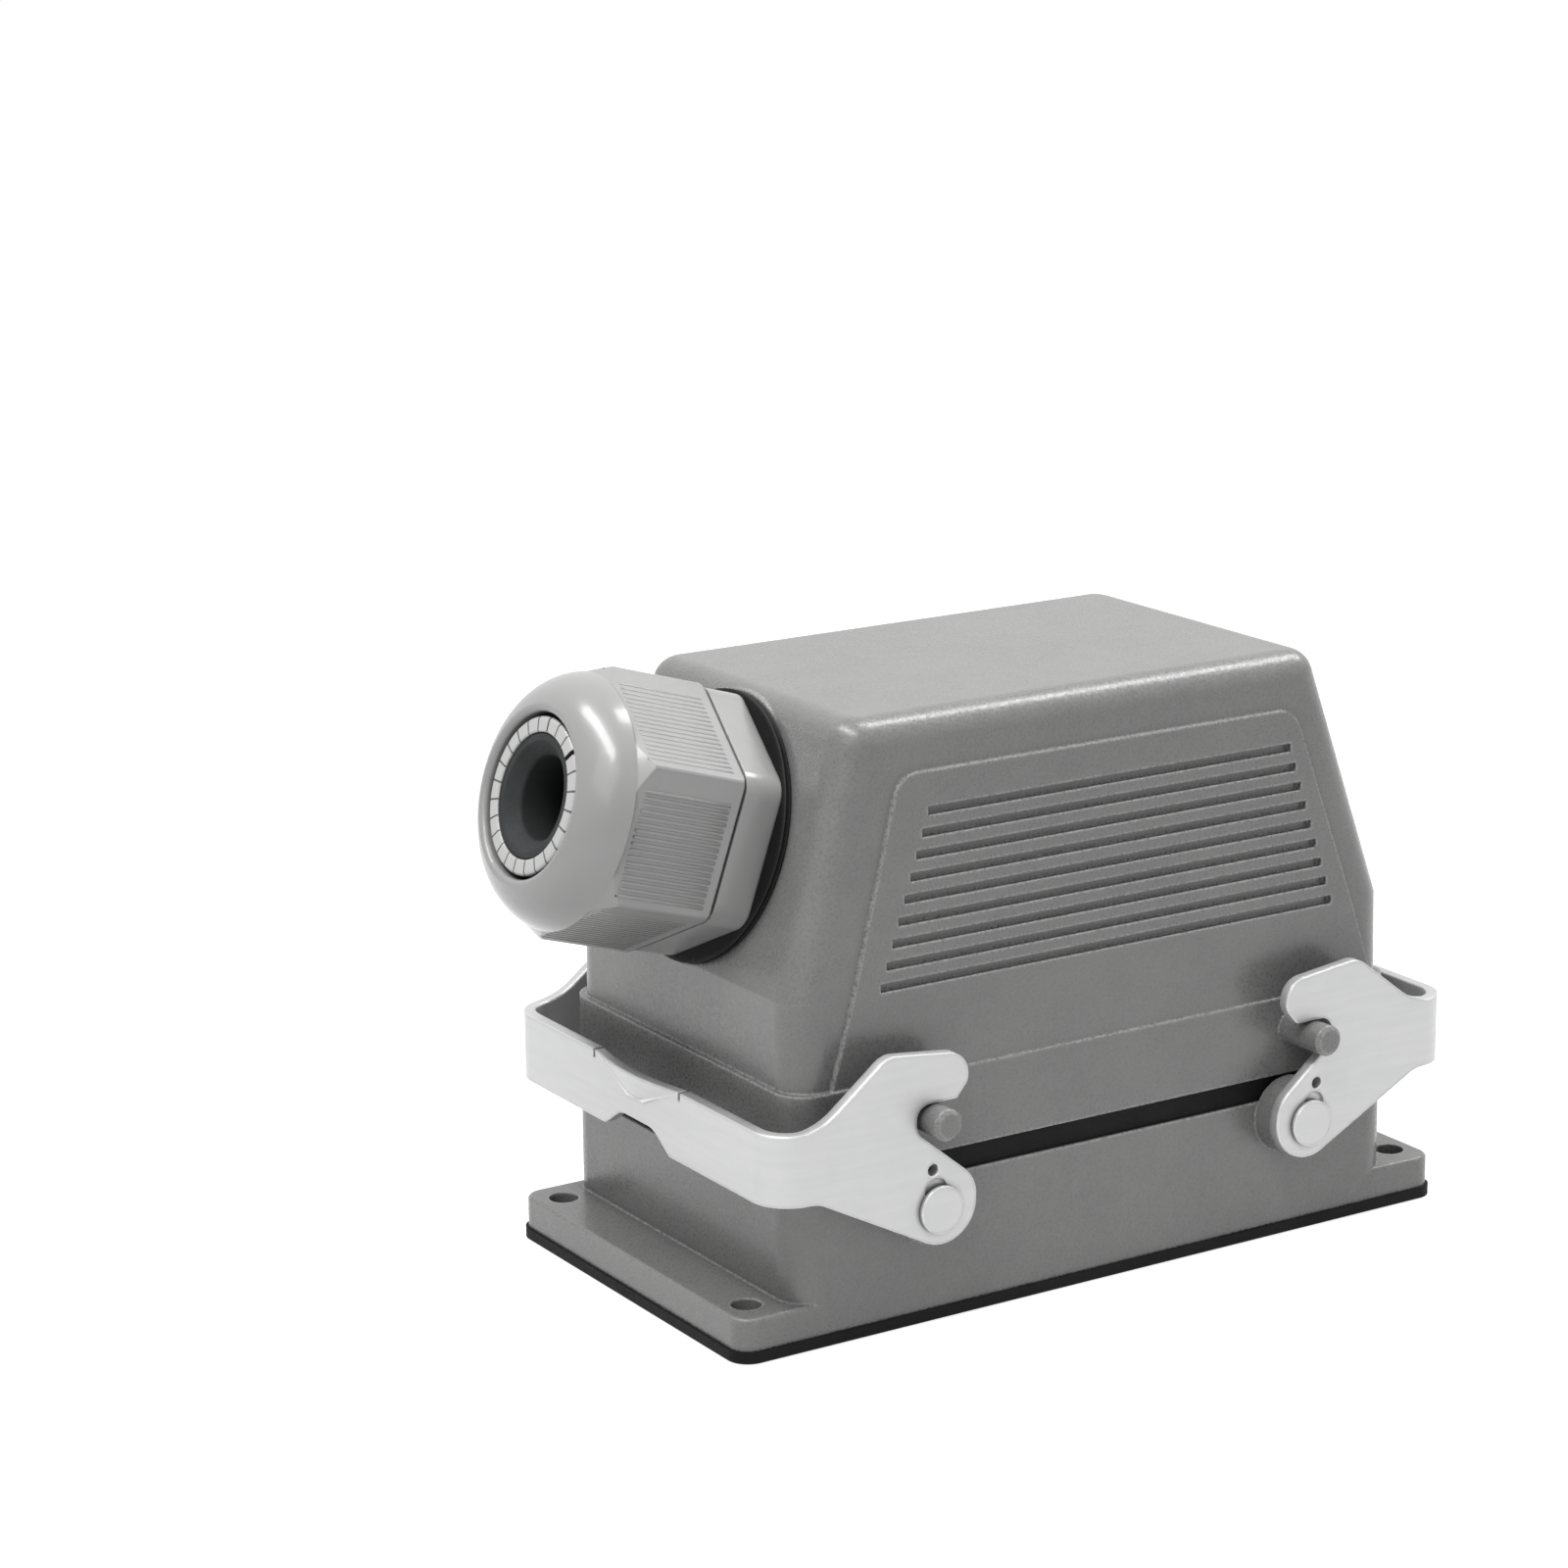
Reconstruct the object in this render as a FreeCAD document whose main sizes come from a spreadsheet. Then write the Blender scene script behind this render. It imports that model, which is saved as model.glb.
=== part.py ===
"""Heavy duty rectangular connector: bulkhead housing with two levers, and its side-entry hood."""
import FreeCAD, Part
import math
import os
import Sketcher

# Origin: centre of the four mounting holes, on the underside of the flange gasket.
# X runs along the length with the cable gland at -X, Y across the width, Z up.

SIZES = {
    # flange, gasket and hole pattern
    "gasket_thickness": 2.0,
    "gasket_overhang": 0.5,
    "flange_rim": 10.7,
    "flange_thickness": 5.8,
    "flange_corner": 3.6,
    "flange_edge": 0.7,
    "gasket_corner": 4.0,
    "hole_reach": 5.5,
    "hole_pitch_wide": 63.0,
    "mount_hole": 5.4,
    # bulkhead housing
    "body_width": 76.5,
    "body_corner": 6.0,
    "housing_wall": 4.0,
    "cavity_corner": 3.0,
    "rim_height": 25.9,
    "shelf_length": 13.0,
    "shelf_thickness": 9.0,
    "shelf_height": 20.0,
    "boss_diameter": 14.0,
    # seal between the two shells
    "seal_height": 4.4,
    "seal_width": 2.6,
    "seal_inset": 0.7,
    # hood
    "hood_wall": 3.8,
    "hood_roof": 4.0,
    "ledge_height": 44.7,
    "ledge_step": 1.0,
    "break_height": 60.0,
    "hood_height": 106.2,
    "end_taper_run": 14.1,
    "side_taper_run": 3.6,
    "side_lower_run": 0.4,
    "hood_edge": 5.0,
    "hood_shelf_height": 44.0,
    "seat_margin": 0.4,
    "seat_depth": 9.0,
    # raised panel and its grooves on each long side
    "panel_rise": 0.6,
    "panel_top": 96.6,
    "panel_top_left": 24.0,
    "panel_top_right": 21.5,
    "panel_foot_left": 8.0,
    "panel_foot_right": 5.0,
    "panel_corner": 5.0,
    "groove_count": 9,
    "groove_pitch": 3.6,
    "groove_height": 1.5,
    "groove_depth": 1.1,
    "groove_first": 61.0,
    "groove_left": 18.2,
    "groove_right": 14.6,
    "groove_left_step": 1.4,
    "groove_right_step": 1.02,
    # pegs that the levers hook over
    "peg_inset": 24.1,
    "peg_height": 39.0,
    "peg_diameter": 5.6,
    "peg_reach": 49.4,
    "peg_chamfer": 0.6,
    # locking levers, bent from sheet
    "pivot_inset": 24.9,
    "pivot_height": 22.9,
    "sheet": 2.0,
    "lever_half_width": 45.2,
    "lever_room": 8.1,
    "lever_bend": 7.0,
    "bail_low": 5.75,
    "bail_high": 18.3,
    "bail_foot_run": 24.5,
    "bail_foot_radius": 6.0,
    "bail_shoulder_run": 24.1,
    "shoulder_radius": 13.0,
    "lobe_reach": 7.4,
    "lobe_drop": 11.0,
    "lobe_rise": 4.3,
    "lobe_radius": 7.0,
    "lobe_top_radius": 6.3,
    "slot_depth": 1.1,
    "slot_lift": 0.25,
    "slot_foot": 14.3,
    "slot_foot_radius": 2.8,
    "slot_top_radius": 2.6,
    "claw_tip": 3.4,
    "claw_tip_radius": 0.5,
    "claw_reach": 5.8,
    "claw_cheek": 21.9,
    "claw_cheek_radius": 3.0,
    "claw_crown_radius": 4.3,
    "claw_back_radius": 4.5,
    "hook_height": 28.9,
    "hook_fall": 1.9,
    "hook_back": 10.5,
    "notch_half": 11.0,
    "notch_rise": 3.6,
    "lip_half": 14.5,
    "lip_height": 5.0,
    "lip_out": 1.6,
    "lip_taper": 15.0,
    "lip_nick": 0.9,
    "lip_nick_depth": 1.5,
    "rivet_shank": 5.0,
    "rivet_head": 8.5,
    "rivet_head_thickness": 0.75,
    "dimple": 2.2,
    "dimple_rise": 7.2,
    "dimple_shift": 1.4,
    "stamp_radius": 2.3,
    "stamp_rise": 3.4,
    "stamp_shift": 0.8,
    "stamp_depth": 0.5,
    # cable gland
    "gland_height": 82.6,
    "washer_radius": 24.0,
    "washer_thickness": 1.8,
    "hex_flats": 42.0,
    "hex_round": 4.8,
    "hex_turn": 27.0,
    "hex_thickness": 7.2,
    "spigot_radius": 18.5,
    "spigot_length": 10.0,
    "spigot_round": 1.0,
    "thread_radius": 18.0,
    "thread_length": 11.0,
    "thread_round": 0.8,
    "nut_gap": 0.6,
    "nut_corner": 24.1,
    "nut_length": 28.4,
    "corner_length": 18.0,
    "flat_length": 20.5,
    "dome_foot": 22.3,
    "dome_shoulder": 25.8,
    "dome_shoulder_radius": 20.6,
    "cone_start": 14.8,
    "cone_end": 21.8,
    "dome_radius": 10.4,
    "mouth_radius": 14.3,
    "finger_radius": 13.7,
    "seal_radius": 10.8,
    "cable_radius": 7.3,
    "finger_round": 0.8,
    "finger_slits": 24,
    "slit_depth": 12.0,
    "slit_width": 0.3,
    "split_width": 0.9,
    "split_angle": -45.0,
    "lip_round": 1.0,
    "finger_setback": 1.3,
    "seal_setback": 1.7,
    "seal_depth": 20.0,
    "seal_funnel": 2.2,
    "seal_round": 0.3,
    "seal_funnel_round": 0.8,
    # contact inserts, two side by side in each shell
    "insert_length": 111.0,
    "insert_end_room": 9.5,
    "insert_width": 33.0,
    "insert_plate": 4.0,
    "insert_gap": 0.6,
    "core_margin": 9.5,
    "core_width": 25.0,
    "core_height": 12.5,
    "terminal_margin": 8.5,
    "terminal_width": 30.0,
    "terminal_depth": 14.0,
    "shroud_wall": 1.9,
    "insert_screw_inset": 3.5,
    "insert_screw_wide": 27.0,
    "contact_margin": 6.4,
    "contact_row": 13.0,
    "contacts_per_row": 12,
    "pin_radius": 1.25,
    "socket_radius": 2.2,
    "pin_overlap": 8.0,
    "contact_recess": 2.0,
    "contact_sink": 0.5,
    "socket_bottom": 2.0,
    "screw_head": 3.5,
    "screw_head_height": 2.6,
    "screw_shank": 2.0,
    "screw_length": 12.0,
    "earth_width": 12.0,
    "earth_foot": 5.0,
    "earth_sheet": 1.2,
    "earth_blade": 9.0,
    "earth_offset": 0.4,
    "earth_gap": 0.2,
    # clearances
    "fit_gap": 0.08,
    "free_gap": 0.3,
    "plug_gap": 0.3,
}

SMALL_ROUND = 0.5
TOUCH = 1e-3
RUN_OUT = 20.0
MARGIN = 1.0
PRISM_SIDES = 6
SCREW_SIDES = 8
LIP_FULLNESS = 0.9

doc = FreeCAD.newDocument("Connector")
sheet = doc.addObject("Spreadsheet::Sheet", "Sizes")
for row, (alias, number) in enumerate(SIZES.items(), start=1):
    sheet.set("A%d" % row, alias)
    sheet.set("B%d" % row, str(number))
    sheet.setAlias("B%d" % row, alias)
doc.recompute()


class Size:
    """A length with the sheet formula that it comes from."""

    def __init__(self, value, text):
        self.value = float(value)
        self.text = text

    def __add__(self, other):
        other = as_size(other)
        return Size(self.value + other.value, "(%s + %s)" % (self.text, other.text))

    def __sub__(self, other):
        other = as_size(other)
        return Size(self.value - other.value, "(%s - %s)" % (self.text, other.text))

    def __mul__(self, other):
        other = as_size(other)
        return Size(self.value * other.value, "(%s * %s)" % (self.text, other.text))

    def __truediv__(self, other):
        other = as_size(other)
        return Size(self.value / other.value, "(%s / %s)" % (self.text, other.text))

    def __neg__(self):
        return Size(-self.value, "(-1 * %s)" % self.text)


def as_size(number):
    return number if isinstance(number, Size) else Size(number, repr(float(number)))


def size(alias):
    return Size(sheet.get(alias), "Sizes.%s" % alias)


def value(alias):
    return float(sheet.get(alias))


PLANES = {
    "XY_Plane": FreeCAD.Rotation(0, 0, 0),
    "XZ_Plane": FreeCAD.Rotation(FreeCAD.Vector(1, 0, 0), 90),
    "YZ_Plane": FreeCAD.Rotation(FreeCAD.Vector(1, 1, 1), 120),
}


def bind(thing, prop, length):
    length = as_size(length)
    setattr(thing, prop, length.value)
    thing.setExpression(prop, length.text)


def new_sketch(name, plane, lift=0.0, body=None):
    """Make a sketch on a base plane, moved along the plane's normal by lift."""
    lift = as_size(lift)
    if body is None:
        sketch = doc.addObject("Sketcher::SketchObject", name)
        axis = PLANES[plane].multVec(FreeCAD.Vector(0, 0, 1))
        sketch.Placement = FreeCAD.Placement(axis * lift.value, PLANES[plane])
        for letter, part in zip("xyz", axis):
            if abs(part) > 0.5:
                sketch.setExpression("Placement.Base.%s" % letter, (lift * round(part)).text)
        return sketch
    sketch = body.newObject("Sketcher::SketchObject", name)
    base = [item for item in body.Origin.OriginFeatures if item.Role == plane][0]
    sketch.AttachmentSupport = [(base, "")]
    sketch.MapMode = "FlatFace"
    sketch.AttachmentOffset = FreeCAD.Placement(FreeCAD.Vector(0, 0, lift.value), FreeCAD.Rotation())
    sketch.setExpression("AttachmentOffset.Base.z", lift.text)
    return sketch


def constrain(sketch, kind, *items, length=None):
    if length is None:
        return sketch.addConstraint(Sketcher.Constraint(kind, *items))
    index = sketch.addConstraint(Sketcher.Constraint(kind, *items, length.value))
    sketch.setExpression("Constraints[%d]" % index, length.text)
    return index


def pin_point(sketch, geometry, end, across, up):
    """Hold one point of the sketch at two distances from its origin."""
    for kind, axis, length in (("DistanceX", -2, across), ("DistanceY", -1, up)):
        if abs(length.value) < 1e-9:
            constrain(sketch, "PointOnObject", geometry, end, axis)
        else:
            constrain(sketch, kind, -1, 1, geometry, end, length=length)


def draw_outline(sketch, corners):
    """Join the corners (across, up, radius) with straight sides and round each by its radius."""
    corners = [tuple(as_size(item) for item in corner) for corner in corners]
    points = [FreeCAD.Vector(across.value, up.value, 0) for across, up, radius in corners]
    count = len(points)
    entries, exits, turns = [], [], []
    for index, point in enumerate(points):
        back = (points[index - 1] - point).normalize()
        ahead = (points[(index + 1) % count] - point).normalize()
        radius = corners[index][2].value
        reach = radius / math.tan(back.getAngle(ahead) / 2) if radius else 0.0
        entries.append(point + back * reach)
        exits.append(point + ahead * reach)
        turns.append(back.cross(ahead).z)
    lines = []
    for index in range(count):
        side = Part.LineSegment(exits[index], entries[(index + 1) % count])
        lines.append(sketch.addGeometry(side, False))
    for index, (across, up, radius) in enumerate(corners):
        before, after = lines[index - 1], lines[index]
        if not radius.value:
            constrain(sketch, "Coincident", before, 2, after, 1)
            pin_point(sketch, after, 1, across, up)
            continue
        corner = sketch.addGeometry(Part.Point(points[index]), True)
        pin_point(sketch, corner, 1, across, up)
        chord = (entries[index] - points[index]) + (exits[index] - points[index])
        half = chord.Length / 2
        reach = (entries[index] - points[index]).Length
        centre = points[index] + chord.normalize() * (reach * reach / half)
        ends = (entries[index], exits[index]) if turns[index] < 0 else (exits[index], entries[index])
        circle = Part.Circle(centre, FreeCAD.Vector(0, 0, 1), radius.value)
        start, stop = (circle.parameter(end) for end in ends)
        arc = sketch.addGeometry(Part.ArcOfCircle(circle, start, stop), False)
        into, out = (1, 2) if turns[index] < 0 else (2, 1)
        constrain(sketch, "Tangent", before, 2, arc, into)
        constrain(sketch, "Tangent", after, 1, arc, out)
        constrain(sketch, "Radius", arc, length=radius)
        constrain(sketch, "PointOnObject", corner, 1, before)
        constrain(sketch, "PointOnObject", corner, 1, after)
    return sketch


def draw_circle(sketch, across, up, radius):
    across, up, radius = as_size(across), as_size(up), as_size(radius)
    centre = FreeCAD.Vector(across.value, up.value, 0)
    circle = sketch.addGeometry(Part.Circle(centre, FreeCAD.Vector(0, 0, 1), radius.value), False)
    pin_point(sketch, circle, 3, across, up)
    constrain(sketch, "Radius", circle, length=radius)
    return sketch


def rectangle(half_length, half_width, radius):
    return box_corners(-half_length, half_length, -half_width, half_width, radius)


def box_corners(left, right, low, high, radius=0.0):
    return [(left, low, radius), (right, low, radius), (right, high, radius), (left, high, radius)]


def new_body(label):
    body = doc.addObject("PartDesign::Body", label)
    body.Label = label
    return body


def feature(body, kind, name, sketch, **lengths):
    """Add a sketched feature to a body and bind its lengths."""
    item = body.newObject("PartDesign::%s" % kind, name)
    item.Profile = sketch
    for prop, length in lengths.items():
        if isinstance(length, (bool, str)):
            setattr(item, prop, length)
        else:
            bind(item, prop, length)
    return item


def checked_cut(body, before):
    """Recompute and make sure that the newest feature took material away."""
    doc.recompute()
    if body.Shape.Volume >= before - 1e-6:
        raise RuntimeError("%s: %s cuts nothing" % (body.Label, body.Tip.Name))


def pocket(body, name, sketch, **lengths):
    doc.recompute()
    before = body.Shape.Volume
    item = feature(body, "Pocket", name, sketch, **lengths)
    checked_cut(body, before)
    return item


def edges_where(shape, test):
    return ["Edge%d" % (number + 1) for number, edge in enumerate(shape.Edges) if test(edge)]


def dress(body, kind, name, test, length):
    """Fillet or chamfer the edges of the body's newest feature that pass the test."""
    doc.recompute()
    base = body.Tip
    item = body.newObject("PartDesign::%s" % kind, name)
    item.Base = (base, edges_where(base.Shape, test))
    bind(item, "Radius" if kind == "Fillet" else "Size", length)
    doc.recompute()
    return item


def solid_of(kind, name, **properties):
    """Add a Part object and bind its lengths or set its links."""
    item = doc.addObject("Part::%s" % kind, name)
    for prop, setting in properties.items():
        if isinstance(setting, Size):
            bind(item, prop, setting)
        else:
            setattr(item, prop, setting)
    return item


def place(item, x, y, z):
    """Move an object, with each coordinate bound to its formula."""
    lengths = [as_size(number) for number in (x, y, z)]
    corner = FreeCAD.Vector(*[length.value for length in lengths])
    item.Placement = FreeCAD.Placement(corner, item.Placement.Rotation)
    for letter, length in zip("xyz", lengths):
        item.setExpression("Placement.Base.%s" % letter, length.text)
    return item


def centred_box(name, length, width, bottom, top, across=0.0, aside=0.0):
    length, width = as_size(length), as_size(width)
    box = solid_of("Box", name, Length=length, Width=width, Height=as_size(top) - bottom)
    return place(box, as_size(across) - length / 2, as_size(aside) - width / 2, bottom)


def extrude(name, sketch, length):
    item = solid_of("Extrusion", name, Base=sketch, DirMode="Normal", Solid=True)
    bind(item, "LengthFwd", length)
    return item


def loft(name, sections):
    """Rule straight walls between rounded rectangles (height, half length, half width, corner)."""
    sketches = []
    for number, (height, half_length, half_width, corner) in enumerate(sections):
        sketch = new_sketch("%sSection%d" % (name, number), "XY_Plane", height)
        sketches.append(draw_outline(sketch, rectangle(half_length, half_width, corner)))
    return solid_of("Loft", name, Sections=sketches, Solid=True, Ruled=True)


def fuse(name, items):
    return solid_of("MultiFuse", name, Shapes=items)


def cut(name, base, tool):
    return solid_of("Cut", name, Base=base, Tool=tool)


HALF_LENGTH = size("insert_length") / 2 + size("insert_end_room")
HALF_WIDTH = size("body_width") / 2
CORNER = size("body_corner")
FLANGE_TOP = size("gasket_thickness") + size("flange_thickness")
HOOD_BASE = size("rim_height") + size("seal_height")
FLANGE_END = HALF_LENGTH + size("flange_rim")
LEVER_END = HALF_LENGTH + size("lever_room")
PIVOT_ACROSS = HALF_LENGTH - size("pivot_inset")
PEG_ACROSS = HALF_LENGTH - size("peg_inset")
CORE_LENGTH = size("insert_length") - size("core_margin") * 2
TERMINAL_LENGTH = size("insert_length") - size("terminal_margin") * 2
CONTACT_PITCH = (CORE_LENGTH - size("contact_margin") * 2) / (size("contacts_per_row") - 1)
INSERT_OFFSET = (size("insert_width") + size("insert_gap")) / 2
INSERT_SIDES = (("near", -INSERT_OFFSET), ("far", INSERT_OFFSET))
END_SIDES = (("left", -1), ("right", 1))


def hole_places():
    """The four mounting hole centres."""
    half_long, half_wide = HALF_LENGTH + size("hole_reach"), size("hole_pitch_wide") / 2
    return [(half_long * sx, half_wide * sy) for sx in (-1, 1) for sy in (-1, 1)]


def insert_screw_places():
    """The eight insert screw centres."""
    half_long = size("insert_length") / 2 - size("insert_screw_inset")
    half_wide = size("insert_screw_wide") / 2
    places = []
    for side, middle in INSERT_SIDES:
        for sx, sy in ((-1, -1), (-1, 1), (1, -1), (1, 1)):
            places.append((half_long * sx, middle + half_wide * sy))
    return places


def contact_places(middle):
    """Centres of the two rows of contacts in the insert whose middle is given."""
    half_row = size("contact_row") / 2
    count = int(value("contacts_per_row"))
    columns = [CONTACT_PITCH * (number - (count - 1) / 2) for number in range(count)]
    return [(column, middle + half_row * sy) for sy in (-1, 1) for column in columns]


def make_gasket():
    """Flat gasket under the flange, with the panel holes and the wiring opening."""
    body = new_body("flange_gasket")
    outline = new_sketch("GasketOutline", "XY_Plane", 0.0, body)
    overhang = size("gasket_overhang")
    half_length, half_width = FLANGE_END + overhang, HALF_WIDTH + overhang
    draw_outline(outline, rectangle(half_length, half_width, size("gasket_corner")))
    feature(body, "Pad", "GasketSheet", outline, Length=size("gasket_thickness"))
    opening = new_sketch("GasketOpening", "XY_Plane", 0.0, body)
    wall = size("housing_wall")
    draw_outline(opening, rectangle(HALF_LENGTH - wall, HALF_WIDTH - wall, size("cavity_corner")))
    for across, up in hole_places():
        draw_circle(opening, across, up, size("mount_hole") / 2)
    pocket(body, "GasketCut", opening, Length=size("gasket_thickness"), Reversed=True)
    return body


def make_housing():
    """Die-cast bulkhead housing: end tabs, straight walls, pivot bosses and two insert shelves."""
    body = new_body("bulkhead_housing")
    base = size("gasket_thickness")
    wall = size("housing_wall")
    flange = new_sketch("FlangeOutline", "XY_Plane", base, body)
    draw_outline(flange, rectangle(FLANGE_END, HALF_WIDTH, size("flange_corner")))
    feature(body, "Pad", "Flange", flange, Length=size("flange_thickness"))
    top = FLANGE_TOP.value - TOUCH
    dress(body, "Fillet", "FlangeEdge", lambda edge: edge.BoundBox.ZMin > top, size("flange_edge"))
    walls = new_sketch("WallOutline", "XY_Plane", base, body)
    draw_outline(walls, rectangle(HALF_LENGTH, HALF_WIDTH, CORNER))
    feature(body, "Pad", "Walls", walls, Length=size("rim_height") - base)
    bosses = new_sketch("BossCircles", "XZ_Plane", 0.0, body)
    for name, sign in END_SIDES:
        draw_circle(bosses, PIVOT_ACROSS * sign, size("pivot_height"), size("boss_diameter") / 2)
    face = size("lever_half_width") - size("sheet") - size("free_gap")
    feature(body, "Pad", "PivotBosses", bosses, Length=face * 2, Midplane=True)
    trim = new_sketch("BossTrim", "XY_Plane", size("rim_height"), body)
    draw_outline(trim, rectangle(HALF_LENGTH, HALF_WIDTH, 0.0))
    pocket(body, "BossTops", trim, Length=size("boss_diameter"), Reversed=True)
    cavity = new_sketch("CavityOutline", "XY_Plane", base, body)
    draw_outline(cavity, rectangle(HALF_LENGTH - wall, HALF_WIDTH - wall, size("cavity_corner")))
    pocket(body, "Cavity", cavity, Length=size("rim_height"), Reversed=True)
    shelves = new_sketch("ShelfOutline", "XY_Plane", size("shelf_height"), body)
    half = HALF_WIDTH - wall / 2
    for name, sign in END_SIDES:
        outer = (HALF_LENGTH - wall / 2) * sign
        inner = (HALF_LENGTH - wall - size("shelf_length")) * sign
        draw_outline(shelves, box_corners(inner, outer, -half, half))
    feature(body, "Pad", "Shelves", shelves, Length=size("shelf_thickness"), Reversed=True)
    drills = new_sketch("InsertScrewHoles", "XY_Plane", size("shelf_height"), body)
    for across, up in insert_screw_places():
        draw_circle(drills, across, up, size("screw_shank") + size("fit_gap"))
    pocket(body, "InsertScrewBores", drills, Length=SCREW_BITE + size("free_gap"))
    holes = new_sketch("MountHoles", "XY_Plane", FLANGE_TOP, body)
    for across, up in hole_places():
        draw_circle(holes, across, up, size("mount_hole") / 2)
    pocket(body, "MountBores", holes, Length=size("flange_thickness"))
    for name, lift, flip in (("Near", face, False), ("Far", -face, True)):
        rivets = new_sketch("RivetHoles" + name, "XZ_Plane", lift, body)
        for end, sign in END_SIDES:
            across = PIVOT_ACROSS * sign
            draw_circle(rivets, across, size("pivot_height"), size("rivet_shank") / 2)
        pocket(body, "RivetBores" + name, rivets, Length=face - half, Reversed=flip)
    return body


def make_seal():
    """Rubber seal on the housing rim, squeezed by the hood."""
    body = new_body("housing_seal")
    outline = new_sketch("SealOutline", "XY_Plane", size("rim_height"), body)
    inset = size("seal_inset")
    draw_outline(outline, rectangle(HALF_LENGTH - inset, HALF_WIDTH - inset, CORNER - inset))
    inset = inset + size("seal_width")
    draw_outline(outline, rectangle(HALF_LENGTH - inset, HALF_WIDTH - inset, CORNER - inset))
    feature(body, "Pad", "SealStrip", outline, Length=size("seal_height"))
    return body


def lever_outline(sign):
    """Side view of a lever arm: bail end, pivot lobe, slot for the peg and hook."""
    pivot = size("pivot_height")
    peg_rise = size("peg_height") - pivot
    slot_top = peg_rise + size("peg_diameter") / 2 + size("slot_lift")
    peg_shift = PEG_ACROSS - PIVOT_ACROSS
    peg_back = size("peg_diameter") / 2 + size("slot_depth") + peg_shift
    tail = LEVER_END - PIVOT_ACROSS + size("sheet") * 2
    crown = size("hook_height") - size("hook_fall")
    local = [
        (-tail, size("bail_low"), 0),
        (-size("bail_foot_run"), size("bail_low"), size("bail_foot_radius")),
        (size("lobe_reach"), -size("lobe_drop"), size("lobe_radius")),
        (size("lobe_reach"), size("lobe_rise"), size("lobe_top_radius")),
        (-peg_back, size("slot_foot"), size("slot_foot_radius")),
        (-peg_back, slot_top, size("slot_top_radius")),
        (size("claw_tip"), slot_top, size("claw_tip_radius")),
        (size("claw_reach"), size("claw_cheek"), size("claw_cheek_radius")),
        (size("claw_reach"), crown, size("claw_crown_radius")),
        (-size("hook_back"), size("hook_height"), size("claw_back_radius")),
        (-size("bail_shoulder_run"), size("bail_high"), size("shoulder_radius")),
        (-tail, size("bail_high"), 0),
    ]
    start = PIVOT_ACROSS * sign
    return [(start - as_size(across) * sign, pivot + up, radius) for across, up, radius in local]


def make_lever(label, sign):
    """Locking lever: one bent strip, a bail across the end and an arm on each long side."""
    body = new_body(label)
    pivot = size("pivot_height")
    across = PIVOT_ACROSS
    legs = (across - size("lobe_reach") - MARGIN) * sign
    bottom, top = pivot - size("lobe_drop"), pivot + size("hook_height") + MARGIN
    end, wide, sheet_size = LEVER_END * sign, size("lever_half_width"), size("sheet")
    inner_end, inner_wide = (LEVER_END - sheet_size) * sign, wide - sheet_size
    bend = size("lever_bend")
    strip = new_sketch(label + "Strip", "XY_Plane", bottom, body)
    draw_outline(strip, [
        (legs, -wide, 0), (end, -wide, bend), (end, wide, bend), (legs, wide, 0),
        (legs, inner_wide, 0), (inner_end, inner_wide, bend - sheet_size),
        (inner_end, -inner_wide, bend - sheet_size), (legs, -inner_wide, 0),
    ])
    feature(body, "Pad", label + "Bend", strip, Length=top - bottom)
    far_out = (LEVER_END + RUN_OUT) * sign
    far_in = (across - size("lobe_reach") - RUN_OUT) * sign
    side = new_sketch(label + "Side", "XZ_Plane", 0.0, body)
    draw_outline(side, box_corners(far_out, far_in, bottom - RUN_OUT, top + RUN_OUT))
    draw_outline(side, lever_outline(sign))
    pocket(body, label + "Blank", side, Length=wide * 2 + RUN_OUT, Midplane=True)
    holes = new_sketch(label + "Holes", "XZ_Plane", 0.0, body)
    draw_circle(holes, across * sign, pivot, size("rivet_shank") / 2 + size("fit_gap"))
    dimple = (across + size("dimple_shift")) * sign
    draw_circle(holes, dimple, pivot + size("dimple_rise"), size("dimple") / 2)
    pocket(body, label + "Bores", holes, Length=wide * 2 + RUN_OUT, Midplane=True)
    for name, lift, flip in (("Near", wide, False), ("Far", -wide, True)):
        stamp = new_sketch(label + "Stamp" + name, "XZ_Plane", lift, body)
        middle = (across + size("stamp_shift")) * sign
        draw_circle(stamp, middle, pivot + size("stamp_rise"), size("stamp_radius"))
        pocket(body, label + "StampCut" + name, stamp, Length=size("stamp_depth"), Reversed=flip)
    low, high = pivot + size("bail_low"), pivot + size("bail_high")
    notch = new_sketch(label + "Notch", "YZ_Plane", (LEVER_END + MARGIN) * sign, body)
    half, rise = size("notch_half"), size("notch_rise")
    draw_outline(notch, [
        (-half - MARGIN, low - MARGIN, 0), (half + MARGIN, low - MARGIN, 0), (half, low, 0),
        (half / 2, low + rise, half / 2), (-half / 2, low + rise, half / 2), (-half, low, 0),
    ])
    pocket(body, label + "NotchCut", notch, Length=sheet_size + MARGIN * 2, Reversed=sign < 0)
    make_lip(body, label, sign, high)
    return body


def lip_outline(face, sign):
    """Shallow arc across the bail, seen from above, that bulges from a face away from the pivot."""
    half, reach = size("lip_half"), size("lip_out") * 2
    root = face - size("sheet") / 2
    radius = half.value * math.hypot(half.value, reach.value) / reach.value * LIP_FULLNESS
    arc = [(face, -half, 0), (face + reach, 0, radius), (face, half, 0)]
    corners = [(root, -half, 0)] + arc + [(root, half, 0)]
    return [(as_size(out) * sign, across, rounding) for out, across, rounding in corners]


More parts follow.
